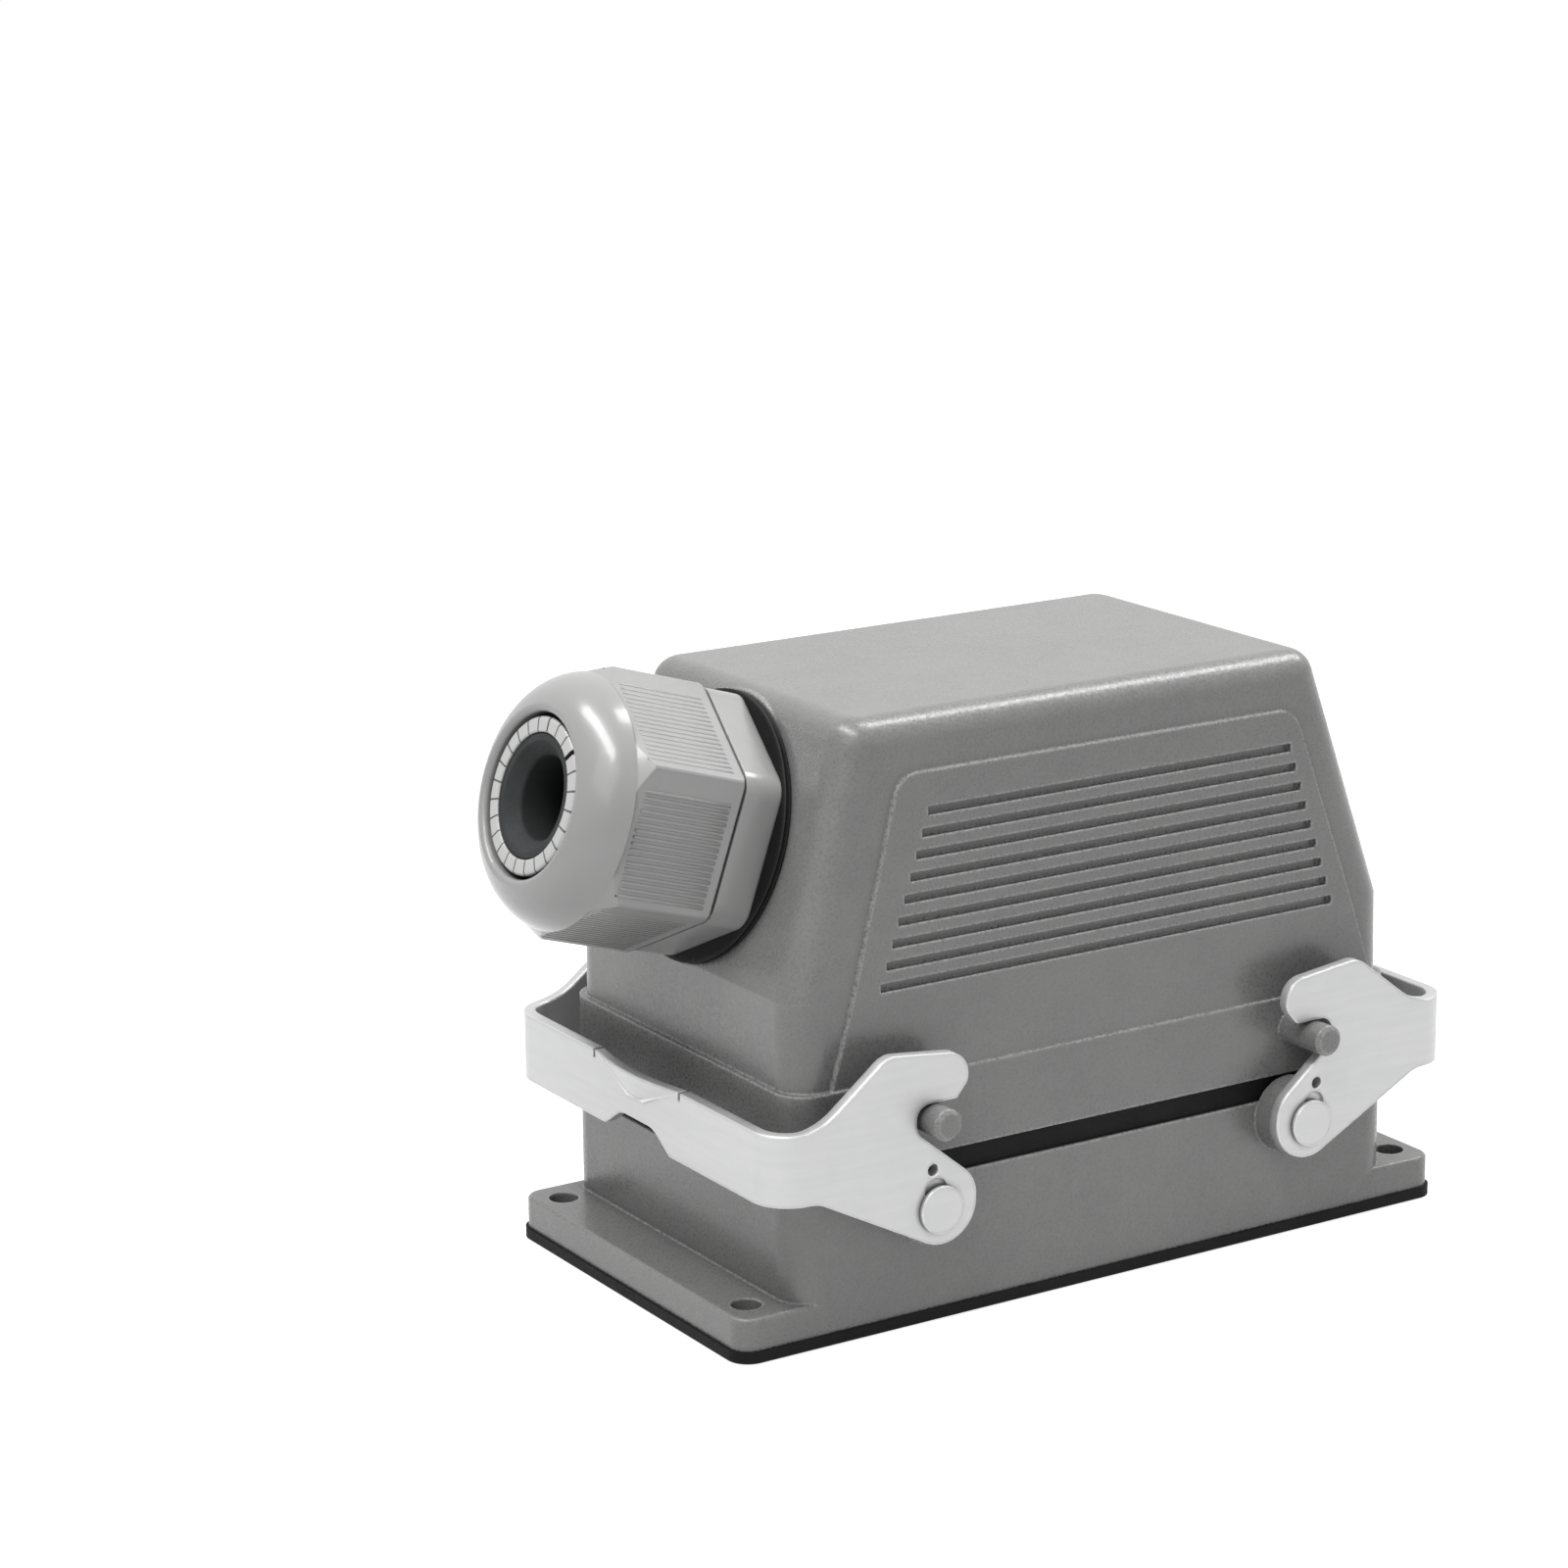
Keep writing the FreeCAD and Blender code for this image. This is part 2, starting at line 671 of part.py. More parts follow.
def make_lip(body, label, sign, high):
    """Finger lip: the middle of the bail's upper edge is pressed out, with a nick at each end."""
    outer, inner = LEVER_END, LEVER_END - size("sheet")
    height, taper = size("lip_height"), -size("lip_taper")
    lip = new_sketch(label + "Lip", "XY_Plane", high, body)
    draw_outline(lip, lip_outline(outer, sign))
    feature(body, "Pad", label + "LipOut", lip, Length=height, Reversed=True, TaperAngle=taper)
    hollow = new_sketch(label + "LipHollow", "XY_Plane", high, body)
    draw_outline(hollow, lip_outline(inner, sign))
    pocket(body, label + "LipIn", hollow, Length=height, TaperAngle=taper)
    nicks = new_sketch(label + "Nicks", "YZ_Plane", (outer + RUN_OUT) * sign, body)
    half, foot = size("lip_nick") / 2, high - size("lip_nick_depth")
    for end, side in END_SIDES:
        middle = size("lip_half") * side
        draw_outline(nicks, box_corners(middle - half, middle + half, foot, high + MARGIN))
    pocket(body, label + "NickCut", nicks, Length=RUN_OUT * 2, Reversed=sign < 0)


def turned(name, radius, height, x, y, z, side):
    """Cylinder along Y that starts at y and points away from the middle on the given side."""
    item = solid_of("Cylinder", name, Radius=as_size(radius), Height=as_size(height))
    rotation = FreeCAD.Rotation(FreeCAD.Vector(1, 0, 0), -90 * side)
    item.Placement = FreeCAD.Placement(FreeCAD.Vector(), rotation)
    return place(item, x, y, z)


def make_rivets():
    """Four rivets that carry the lever arms."""
    rivets = []
    root = HALF_WIDTH - size("housing_wall") / 2
    head = size("lever_half_width") + size("fit_gap") * 2
    for end, sx in END_SIDES:
        for side, sy in (("Near", -1), ("Far", 1)):
            x, z = PIVOT_ACROSS * sx, size("pivot_height")
            name = "Rivet%s%s" % (end, side)
            radius, thickness = size("rivet_head") / 2, size("rivet_head_thickness")
            shank = turned(name + "Shank", size("rivet_shank") / 2, head - root, x, root * sy, z, sy)
            cap = turned(name + "Head", radius, thickness, x, head * sy, z, sy)
            rivets.append(fuse(name, [shank, cap]))
    return group("lever_rivets", rivets)


def group(label, items):
    """Keep several separate solids as one named piece."""
    compound = solid_of("Compound", label, Links=items)
    compound.Label = label
    return compound


def hood_wall_at(height, inset=0.0):
    """Half length and half width of the hood's tapered wall at a height above the break."""
    share = (as_size(height) - size("break_height")) / (size("hood_height") - size("break_height"))
    step = size("ledge_step")
    half_length = HALF_LENGTH - step - size("end_taper_run") * share - inset
    half_width = HALF_WIDTH - step - size("side_lower_run") - size("side_taper_run") * share - inset
    return half_length, half_width


def hood_sections(rise=0.0):
    """Outline of the hood above its ledge, with the long sides moved out by rise."""
    step = size("ledge_step")
    sections = [(size("ledge_height"), HALF_LENGTH - step, HALF_WIDTH - step + rise, CORNER)]
    for alias in ("break_height", "hood_height"):
        half_length, half_width = hood_wall_at(size(alias))
        sections.append((size(alias), half_length, half_width + rise, CORNER))
    return sections


def make_hood_core():
    """Outer form of the hood: band, tapered body and rounded top edges."""
    band = new_sketch("BandOutline", "XY_Plane", HOOD_BASE)
    draw_outline(band, rectangle(HALF_LENGTH, HALF_WIDTH, CORNER))
    lower = extrude("HoodBand", band, size("ledge_height") - HOOD_BASE)
    upper = loft("HoodUpper", hood_sections())
    doc.recompute()
    top = value("hood_height")
    rounded = solid_of("Fillet", "HoodRounded", Base=upper)
    chosen = []
    for number, edge in enumerate(upper.Shape.Edges, start=1):
        if edge.BoundBox.ZMin > top - TOUCH:
            chosen.append((number, value("hood_edge"), value("hood_edge")))
    rounded.Edges = chosen
    return [lower, rounded]


def make_panel():
    """Raised panel on both long sides, wider at the foot."""
    outline = new_sketch("PanelOutline", "XZ_Plane", -HALF_WIDTH - RUN_OUT)
    foot, top, corner = size("ledge_height"), size("panel_top"), size("panel_corner")
    draw_outline(outline, [
        (size("panel_foot_left") - HALF_LENGTH, foot, 0),
        (HALF_LENGTH - size("panel_foot_right"), foot, 0),
        (HALF_LENGTH - size("panel_top_right"), top, corner),
        (size("panel_top_left") - HALF_LENGTH, top, corner),
    ])
    slab = extrude("PanelSlab", outline, (HALF_WIDTH + RUN_OUT) * 2)
    raised = loft("PanelWall", hood_sections(size("panel_rise")))
    return solid_of("Common", "Panel", Base=raised, Tool=slab)


def make_grooves():
    """Nine grooves in each panel, longer towards the foot."""
    boxes = []
    tall, deep = size("groove_height"), size("groove_depth")
    for number in range(int(value("groove_count"))):
        height = size("groove_first") + size("groove_pitch") * number
        left = HALF_LENGTH - size("groove_left") - size("groove_left_step") * number
        right = HALF_LENGTH - size("groove_right") - size("groove_right_step") * number
        half_width = hood_wall_at(height)[1] + size("panel_rise")
        for side, sign in (("Near", -1), ("Far", 1)):
            name = "Groove%s%d" % (side, number)
            box = solid_of("Box", name, Length=left + right, Width=deep * 2, Height=tall)
            boxes.append(place(box, -left, half_width * sign - deep, height - tall / 2))
    return boxes


def make_pegs():
    """Four cast pegs that the lever hooks hold down."""
    pegs = []
    root = HALF_WIDTH - size("hood_wall") / 2
    radius, chamfer = size("peg_diameter") / 2, size("peg_chamfer")
    end_of_shank = size("peg_reach") - chamfer
    for end, sx in END_SIDES:
        for side, sy in (("Near", -1), ("Far", 1)):
            x, z = PEG_ACROSS * sx, size("peg_height")
            name = "Peg%s%s" % (end, side)
            shank = turned(name + "Shank", radius, end_of_shank - root, x, root * sy, z, sy)
            tip = solid_of("Cone", name + "Tip", Radius1=radius, Radius2=radius - chamfer, Height=chamfer)
            tip.Placement = shank.Placement
            pegs += [shank, place(tip, x, end_of_shank * sy, z)]
    return pegs


def gland_placement():
    """Local +Z leaves the sloping end wall at right angles, from the wall's outer face."""
    rise = value("hood_height") - value("break_height")
    tilt = math.degrees(math.atan2(value("end_taper_run"), rise))
    half_length = hood_wall_at(size("gland_height"))[0]
    base = FreeCAD.Vector(-half_length.value, 0, value("gland_height"))
    return FreeCAD.Placement(base, FreeCAD.Rotation(FreeCAD.Vector(0, 1, 0), tilt - 90))


def gland_cylinder(name, radius, start, stop):
    """Cylinder on the gland axis between two distances from the wall."""
    item = solid_of("Cylinder", name, Radius=as_size(radius), Height=as_size(stop) - as_size(start))
    shift = FreeCAD.Placement(FreeCAD.Vector(0, 0, as_size(start).value), FreeCAD.Rotation())
    item.Placement = gland_placement().multiply(shift)
    return item


def make_hood():
    """Die-cast hood: hollow shell with grooved panels, pegs, gland seat and insert shelves."""
    outer = fuse("HoodOuter", make_hood_core() + [make_panel()] + make_pegs())
    wall, inner_corner = size("hood_wall"), size("cavity_corner")
    roof = size("hood_height") - size("hood_roof")
    sections = [(HOOD_BASE - MARGIN, HALF_LENGTH - wall, HALF_WIDTH - wall, inner_corner)]
    for height in (size("break_height"), roof):
        half_length, half_width = hood_wall_at(height, wall)
        sections.append((height, half_length, half_width, inner_corner))
    cavity = loft("HoodCavity", sections)
    shell = cut("HoodShell", outer, fuse("HoodHollows", [cavity] + make_grooves()))
    seat_radius = size("washer_radius") + size("seat_margin")
    additions = [shell, gland_cylinder("GlandSeat", seat_radius, -size("seat_depth"), 0.0)]
    low, tall = size("hood_shelf_height"), size("shelf_thickness")
    half = HALF_WIDTH - wall / 2 - size("ledge_step") - size("side_lower_run")
    for end, sign in END_SIDES:
        middle = HALF_LENGTH - size("ledge_step") - (wall * 1.5 + size("shelf_length")) / 2
        length = size("shelf_length") + wall / 2
        shelf = centred_box("HoodShelf" + end, length, half * 2, low, low + tall, middle * sign)
        additions.append(shelf)
    bores = [gland_cylinder("GlandBore", size("spigot_radius") + size("fit_gap"), -RUN_OUT, RUN_OUT)]
    drill_radius = size("screw_shank") + size("fit_gap")
    for number, (x, y) in enumerate(insert_screw_places()):
        drill = solid_of("Cylinder", "HoodDrill%d" % number, Radius=drill_radius)
        bind(drill, "Height", SCREW_BITE + size("free_gap"))
        bores.append(place(drill, x, y, low))
    hood = cut("hood", fuse("HoodSolid", additions), fuse("HoodBores", bores))
    hood.Label = "hood"
    return hood


def half_section(body, name, corners):
    """Turn a half section (radius, height, rounding) about the body's Z axis."""
    sketch = new_sketch(name + "Section", "XZ_Plane", 0.0, body)
    draw_outline(sketch, corners)
    turn = body.newObject("PartDesign::Revolution", name)
    turn.Profile = sketch
    turn.ReferenceAxis = (sketch, ["V_Axis"])
    turn.Angle = 360
    return turn


def hexagon(flats, rounding):
    """Corners of a hexagon, turned about the gland's axis as it was tightened."""
    reach = flats / (2 * math.cos(math.radians(30)))
    angles = [math.radians(30 + 60 * number + value("hex_turn")) for number in range(6)]
    return [(reach * math.cos(angle), reach * math.sin(angle), rounding) for angle in angles]


HEX_TOP = size("washer_thickness") + size("hex_thickness")
NUT_START = HEX_TOP + size("nut_gap")
NUT_END = NUT_START + size("nut_length")
SCREW_BITE = size("screw_length") - size("insert_plate")


def make_gland_body():
    """Gland body: spigot through the wall, hexagon, thread and clamping fingers."""
    body = new_body("gland_body")
    bore, fingers, thread = size("seal_radius"), size("finger_radius"), size("thread_radius")
    thread_end = HEX_TOP + size("thread_length")
    finger_end = NUT_END - size("finger_setback")
    spigot, seat = size("spigot_radius"), size("washer_thickness") + MARGIN
    half_section(body, "GlandTube", [
        (bore, -size("spigot_length"), SMALL_ROUND), (spigot, -size("spigot_length"), size("spigot_round")),
        (spigot, seat, 0), (thread, seat, 0), (thread, thread_end, size("thread_round")),
        (fingers, thread_end, 0), (fingers, finger_end, size("finger_round")),
        (bore, finger_end, SMALL_ROUND),
    ])
    hexagonal = new_sketch("HexOutline", "XY_Plane", size("washer_thickness"), body)
    draw_outline(hexagonal, hexagon(size("hex_flats"), size("hex_round")))
    draw_circle(hexagonal, 0.0, 0.0, thread - MARGIN)
    feature(body, "Pad", "Hexagon", hexagonal, Length=size("hex_thickness"))
    slit = new_sketch("SlitOutline", "XY_Plane", finger_end, body)
    half = size("slit_width") / 2
    draw_outline(slit, box_corners(bore - MARGIN, fingers + MARGIN, -half, half))
    cut_slit = pocket(body, "Slit", slit, Length=size("slit_depth"))
    ring = body.newObject("PartDesign::PolarPattern", "Slits")
    ring.Originals = [cut_slit]
    turning_axis = [item for item in body.Origin.OriginFeatures if item.Role == "Z_Axis"][0]
    ring.Axis = (turning_axis, [""])
    ring.Angle = 360
    ring.Occurrences = int(value("finger_slits"))
    ring.setExpression("Occurrences", size("finger_slits").text)
    doc.recompute()
    split = new_sketch("SplitOutline", "XY_Plane", finger_end, body)
    angle, half = math.radians(value("split_angle")), value("split_width") / 2
    along = FreeCAD.Vector(math.cos(angle), math.sin(angle), 0)
    side = FreeCAD.Vector(-along.y, along.x, 0) * half
    near, far = along * (bore.value - MARGIN), along * (fingers.value + MARGIN)
    draw_outline(split, [(spot.x, spot.y, 0) for spot in (near - side, far - side, far + side, near + side)])
    pocket(body, "Split", split, Length=size("slit_depth"))
    body.Placement = gland_placement()
    return body


def make_dome_nut():
    """Dome nut: round nose with hexagon flats, screwed over the clamping fingers."""
    body = new_body("gland_dome_nut")
    bore, corner, mouth = size("thread_radius") + size("fit_gap"), size("nut_corner"), size("mouth_radius")
    shoulder = NUT_START + size("dome_shoulder")
    cone_start, cone_end = NUT_START + size("cone_start"), NUT_START + size("cone_end")
    half_section(body, "Nose", [
        (bore, NUT_START, 0), (corner, NUT_START, SMALL_ROUND),
        (corner, NUT_START + size("corner_length"), 0),
        (size("dome_foot"), NUT_START + size("flat_length"), 0),
        (size("dome_shoulder_radius"), shoulder, size("dome_radius")),
        (mouth, NUT_END, size("lip_round")), (mouth, cone_end, 0), (bore, cone_start, 0),
    ])
    flats = new_sketch("FlatOutline", "XY_Plane", NUT_START, body)
    draw_outline(flats, hexagon(size("hex_flats"), 0.0))
    draw_circle(flats, 0.0, 0.0, corner + MARGIN)
    pocket(body, "Flats", flats, Length=size("flat_length"), Reversed=True)
    body.Placement = gland_placement()
    return body


def make_gland_washer():
    body = new_body("gland_washer")
    sketch = new_sketch("WasherRing", "XY_Plane", 0.0, body)
    draw_circle(sketch, 0.0, 0.0, size("washer_radius"))
    draw_circle(sketch, 0.0, 0.0, size("spigot_radius") + size("fit_gap"))
    feature(body, "Pad", "Washer", sketch, Length=size("washer_thickness"))
    rim = value("washer_radius") - TOUCH
    dress(body, "Fillet", "WasherEdge", lambda edge: edge.BoundBox.XMax > rim, SMALL_ROUND)
    body.Placement = gland_placement()
    return body


def make_gland_seal():
    """Rubber sleeve that closes on the cable."""
    body = new_body("gland_seal")
    outer, inner = size("seal_radius"), size("cable_radius")
    top = NUT_END - size("seal_setback")
    foot, funnel, rounding = top - size("seal_depth"), size("seal_funnel"), size("seal_round")
    half_section(body, "Sleeve", [
        (inner, foot, rounding), (outer, foot, rounding), (outer, top, rounding),
        (inner + funnel, top, rounding), (inner, top - funnel, size("seal_funnel_round")),
    ])
    body.Placement = gland_placement()
    return body


def prisms(name, places, radius, start, stop, sides=PRISM_SIDES):
    """One many-sided rod at each place, between two heights."""
    rods = []
    for number, (x, y) in enumerate(places):
        rod = solid_of("Prism", "%s%d" % (name, number), Polygon=sides, Circumradius=as_size(radius))
        bind(rod, "Height", as_size(stop) - as_size(start))
        rods.append(place(rod, x, y, start))
    return rods


PLATE_TOP = size("shelf_height") + size("insert_plate")
CORE_TOP = PLATE_TOP + size("core_height")
MALE_PLATE = size("hood_shelf_height") - size("insert_plate")
FEMALE_FOOT = size("shelf_height") - size("terminal_depth")
MALE_HEAD = size("hood_shelf_height") + size("terminal_depth")
PIN_TIP = CORE_TOP - size("pin_overlap")


def insert_blocks(name, middle, blocks):
    """Boxes on the insert's middle line, each given as (word, length, width, bottom, top)."""
    return [centred_box(name + word, *sizes, 0.0, middle) for word, *sizes in blocks]


def make_female_insert(side, middle):
    """Insulating body with the socket contacts, screwed to the housing shelves."""
    name = "female_insert_" + side
    seat, places = size("shelf_height"), contact_places(middle)
    solids = insert_blocks(name, middle, [
        ("Plate", size("insert_length"), size("insert_width"), seat, PLATE_TOP),
        ("Core", CORE_LENGTH, size("core_width"), PLATE_TOP, CORE_TOP),
        ("Rear", TERMINAL_LENGTH, size("terminal_width"), FEMALE_FOOT, seat),
    ])
    holes = prisms(name + "Hole", places, size("socket_radius"), FEMALE_FOOT - MARGIN, CORE_TOP + MARGIN)
    holes += own_screw_holes(name, middle, seat, PLATE_TOP)
    item = cut(name, fuse(name + "Blank", solids), group(name + "Holes", holes))
    item.Label = name
    return item


def make_male_insert(side, middle):
    """Insulating body with the pin contacts and a shroud around the other insert's core."""
    name = "male_insert_" + side
    seat, places = size("hood_shelf_height"), contact_places(middle)
    gap, shroud = size("plug_gap"), size("shroud_wall")
    inner_long, inner_wide = CORE_LENGTH + gap * 2, size("core_width") + gap * 2
    floor = CORE_TOP + gap
    solids = insert_blocks(name, middle, [
        ("Plate", size("insert_length"), size("insert_width"), MALE_PLATE, seat),
        ("Shroud", inner_long + shroud * 2, inner_wide + shroud * 2, PLATE_TOP + gap, MALE_PLATE),
        ("Rear", TERMINAL_LENGTH, size("terminal_width"), seat, MALE_HEAD),
    ])
    hollow = centred_box(name + "Hollow", inner_long, inner_wide, PLATE_TOP, floor, 0.0, middle)
    pin_holes = prisms(name + "Hole", places, size("pin_radius"), floor - MARGIN, MALE_HEAD + MARGIN)
    holes = [hollow] + pin_holes + own_screw_holes(name, middle, MALE_PLATE, seat)
    item = cut(name, fuse(name + "Blank", solids), group(name + "Holes", holes))
    item.Label = name
    return item


def own_screw_holes(name, middle, start, stop):
    """Clearance holes through an insert's plate for its own four screws."""
    places = [spot for spot in insert_screw_places() if spot[1].value * middle.value > 0]
    radius = size("screw_shank") + size("free_gap")
    return prisms(name + "Screw", places, radius, start - MARGIN, stop + MARGIN, SCREW_SIDES)


def make_contacts(side, middle):
    """Socket contacts in the housing's insert and pin contacts in the hood's insert."""
    places = contact_places(middle)
    low, high = FEMALE_FOOT + size("contact_recess"), CORE_TOP - size("contact_sink")
    bore, bottom = size("pin_radius") + size("fit_gap"), PIN_TIP - size("socket_bottom")
    outer = prisms("Socket" + side, places, size("socket_radius"), low, high)
    inner = prisms("SocketBore" + side, places, bore, bottom, high + MARGIN)
    sockets = []
    for number, (rod, hole) in enumerate(zip(outer, inner)):
        sockets.append(cut("SocketTube%s%d" % (side, number), rod, hole))
    group("socket_contacts_" + side, sockets)
    pins = prisms("Pin" + side, places, size("pin_radius"), PIN_TIP, MALE_HEAD - size("contact_recess"))
    group("pin_contacts_" + side, pins)


def make_screws(label, seat, direction):
    """Eight insert screws, with heads on the plate and shanks in the shelf."""
    screws = []
    head = size("screw_head_height")
    shank = size("screw_length")
    low, high = (seat, seat + head) if direction > 0 else (seat - head, seat)
    heads = prisms(label + "Head", insert_screw_places(), size("screw_head"), low, high, SCREW_SIDES)
    low, high = (seat - shank, seat) if direction > 0 else (seat, seat + shank)
    shanks = prisms(label + "Shank", insert_screw_places(), size("screw_shank"), low, high, SCREW_SIDES)
    for number, pair in enumerate(zip(heads, shanks)):
        screws.append(fuse("%s%d" % (label, number), list(pair)))
    return group(label, screws)


def earth_contact(name, middle, start, sign, plate, tip):
    """One bent strip: a foot on the insert's plate and a blade that reaches the tip height."""
    thick, foot, wide = size("earth_sheet"), size("earth_foot"), size("earth_width")
    inner, outer = (plate, plate + thick) if tip.value > plate.value else (plate - thick, plate)
    low, high = (plate, tip) if tip.value > plate.value else (tip, plate)
    return fuse(name, [
        centred_box(name + "Foot", foot, wide, inner, outer, (start + foot / 2) * sign, middle),
        centred_box(name + "Blade", thick, wide, low, high, (start + thick / 2) * sign, middle),
    ])


def make_earth_contacts():
    """Earth contacts at both ends of each insert; the blades stand side by side when mated."""
    shroud_end = CORE_LENGTH / 2 + size("plug_gap") + size("shroud_wall")
    blade = size("earth_blade")
    housing, hood = [], []
    for side, middle in INSERT_SIDES:
        for end, sign in END_SIDES:
            name = "Earth%s%s" % (side, end)
            start = shroud_end + size("earth_offset")
            housing.append(earth_contact(name + "Low", middle, start, sign, PLATE_TOP, PLATE_TOP + blade))
            start = start + size("earth_sheet") + size("earth_gap")
            hood.append(earth_contact(name + "High", middle, start, sign, MALE_PLATE, MALE_PLATE - blade))
    group("housing_earth_contacts", housing)
    group("hood_earth_contacts", hood)


def build():
    make_gasket()
    make_housing()
    make_seal()
    make_rivets()
    make_lever("left_locking_lever", -1)
    make_lever("right_locking_lever", 1)
    make_hood()
    make_gland_body()
    make_dome_nut()
    make_gland_washer()
    make_gland_seal()
    for side, middle in INSERT_SIDES:
        make_female_insert(side, middle)
        make_male_insert(side, middle)
        make_contacts(side, middle)
    make_screws("housing_insert_screws", PLATE_TOP, 1)
    make_screws("hood_insert_screws", MALE_PLATE, -1)
    make_earth_contacts()
    doc.recompute()


NODES = [
    "flange_gasket", "bulkhead_housing", "housing_seal", "lever_rivets",
    "left_locking_lever", "right_locking_lever", "hood",
    "gland_body", "gland_dome_nut", "gland_washer", "gland_seal",
    "female_insert_near", "female_insert_far", "male_insert_near", "male_insert_far",
    "socket_contacts_near", "socket_contacts_far", "pin_contacts_near", "pin_contacts_far",
    "housing_insert_screws", "hood_insert_screws", "housing_earth_contacts", "hood_earth_contacts",
]


def check_and_export():
    """Refuse failed features and bad shapes, then write one STEP file for each piece."""
    for item in doc.Objects:
        if "Invalid" in item.State or "Error" in item.State:
            raise RuntimeError("%s is in state %s" % (item.Name, item.State))
    pieces = {item.Label: item for item in doc.Objects if item.Label in NODES}
    for label in NODES:
        shape = pieces[label].Shape
        if shape.isNull() or not shape.isValid() or not shape.Solids:
            raise RuntimeError("%s has a bad shape" % label)
    os.makedirs("parts", exist_ok=True)
    for label in NODES:
        shape = pieces[label].Shape
        shape.exportStep("parts/%s.step" % label)
        print("%-24s solids %3d volume %9.1f" % (label, len(shape.Solids), shape.Volume))


build()
check_and_export()
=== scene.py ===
"""Looks for the heavy duty rectangular connector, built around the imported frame. Metres."""

import math

import bpy
from mathutils import Matrix, Vector


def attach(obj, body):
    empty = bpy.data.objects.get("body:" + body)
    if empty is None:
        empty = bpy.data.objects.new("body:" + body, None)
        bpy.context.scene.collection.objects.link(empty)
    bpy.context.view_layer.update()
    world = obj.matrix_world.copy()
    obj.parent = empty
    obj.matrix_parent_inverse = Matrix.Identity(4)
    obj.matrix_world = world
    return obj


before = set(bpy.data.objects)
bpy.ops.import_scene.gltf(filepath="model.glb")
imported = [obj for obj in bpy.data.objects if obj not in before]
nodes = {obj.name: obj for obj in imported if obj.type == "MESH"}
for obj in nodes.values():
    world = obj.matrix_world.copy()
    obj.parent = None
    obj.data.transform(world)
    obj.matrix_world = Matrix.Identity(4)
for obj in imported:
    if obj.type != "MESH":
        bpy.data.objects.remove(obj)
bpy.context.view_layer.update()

MM = 0.001

# camera fitted to the photograph, angles in degrees
EYE = Vector((-0.4181, -0.5996, 0.2706))
AZIMUTH = 32.09
ELEVATION = 14.47
ROLL = -0.6
LENS_MM = 96.3
SENSOR_MM = 36.0
CLIP_START = 0.01
CLIP_END = 50.0

# gland axis: it leaves the sloping end wall at right angles
END_RISE = 46.2
END_RUN = 14.1
GLAND_SEAT = Vector((-57.103, 0.0, 82.6)) * MM
GLAND_TILT = math.atan2(END_RUN, END_RISE)
GLAND_FRAME = Matrix.Translation(GLAND_SEAT) @ Matrix.Rotation(GLAND_TILT - math.pi / 2, 4, "Y")
GLAND_UP = GLAND_FRAME.to_3x3() @ Vector((1, 0, 0))
GLAND_SIDE = GLAND_FRAME.to_3x3() @ Vector((0, 1, 0))
GLAND_AXIS = GLAND_FRAME.to_3x3() @ Vector((0, 0, 1))

# stretches of the gland axis, in millimetres from the seat
WASHER_STRETCH = (0.0, 1.8)
SEAL_STRETCH = (24.0, 36.0)
MOUTH_STRETCH = (30.0, 33.0)

# painted shade of the slits between the clamping fingers: each one's half width as a share of the
# spacing of the slits, and the part of that over which its edge fades
FINGER_SLITS = 24
SLIT_SHARE = 0.055
SLIT_FADE = 0.4

# grip ribs on the flats of the dome nut, in millimetres on the gland's own axes
NUT_FLAT = 21.0
NUT_START = 9.6
FLAT_COUNT = 6
FIRST_FLAT_ANGLE = 27.0
RIB_COUNT = 17
RIB_PITCH = 1.12
RIB_SHIFT = -1.3
RIB_START = 1.4
RIB_END = 19.2
RIB_RISES = (0.22, 0.22, 0.22, 0.22, 0.26, 0.08)
RIB_HALF_WIDTH = 0.4
RIB_SINK = 0.12
RIB_RUN = 0.7
# across a rib: place and rise, as shares of its half width and height
RIB_PROFILE = ((-1.0, 0.0), (-0.6, 0.75), (0.0, 1.0), (0.6, 0.75), (1.0, 0.0))
# along a rib: place in millimetres and share of the full height
RIB_STATIONS = (
    (RIB_START, 0.0), (RIB_START + RIB_RUN, 1.0), (RIB_END - RIB_RUN, 1.0), (RIB_END, 0.0))

# softened edges, painted edge highlights and painted crevice shade: rays for each, the bend of
# the normal that counts as an edge, and the shares of open sky between which the painted crevice
# shade darkens
EDGE_SAMPLES = 4
EDGE_BEND = 0.12
CREVICE_SHADE_SHUT = 0.35
CREVICE_SHADE_OPEN = 0.9

# the floor lights the object as pale card, and shows white to the camera
FLOOR_HALF = 3.0
FLOOR_LEVEL = -0.0003
FLOOR_COLOUR = 0.6
FLOOR_SEEN_COLOUR = 0.45
FLOOR_GLOW = 0.81

# studio: strength of the pale surroundings, the point that the lights face, and for each
# light its name, place, direction of its length, length, width and watts
WORLD_LEVEL = 0.42
LIT_POINT = Vector((0, 0, 0.06))
SOFTBOXES = (
    ("top", (-0.38, 0.0, 0.87), (0, 1, 0), 0.9, 0.18, 7.2),
    ("edge", (0.5, 0.0, 0.92), (1, 0, 0), 0.9, 0.26, 8.5),
    ("left", (-0.6, -0.4, 0.7), (0, 1, 0), 0.6, 0.6, 1.7),
    ("front", (0.25, -1.1, 0.35), (1, 0, 0), 0.7, 0.7, 0.35),
)

# sockets of the Mix node, whose names repeat for its numbers and colours
MIX_SHARE = 0
MIX_NUMBERS = (2, 3)
MIX_NUMBER_OUT = 0
MIX_COLOURS = (6, 7)
MIX_COLOUR_OUT = 2


def add_object(name, data):
    added = bpy.data.objects.new(name, data)
    bpy.context.scene.collection.objects.link(added)
    return added


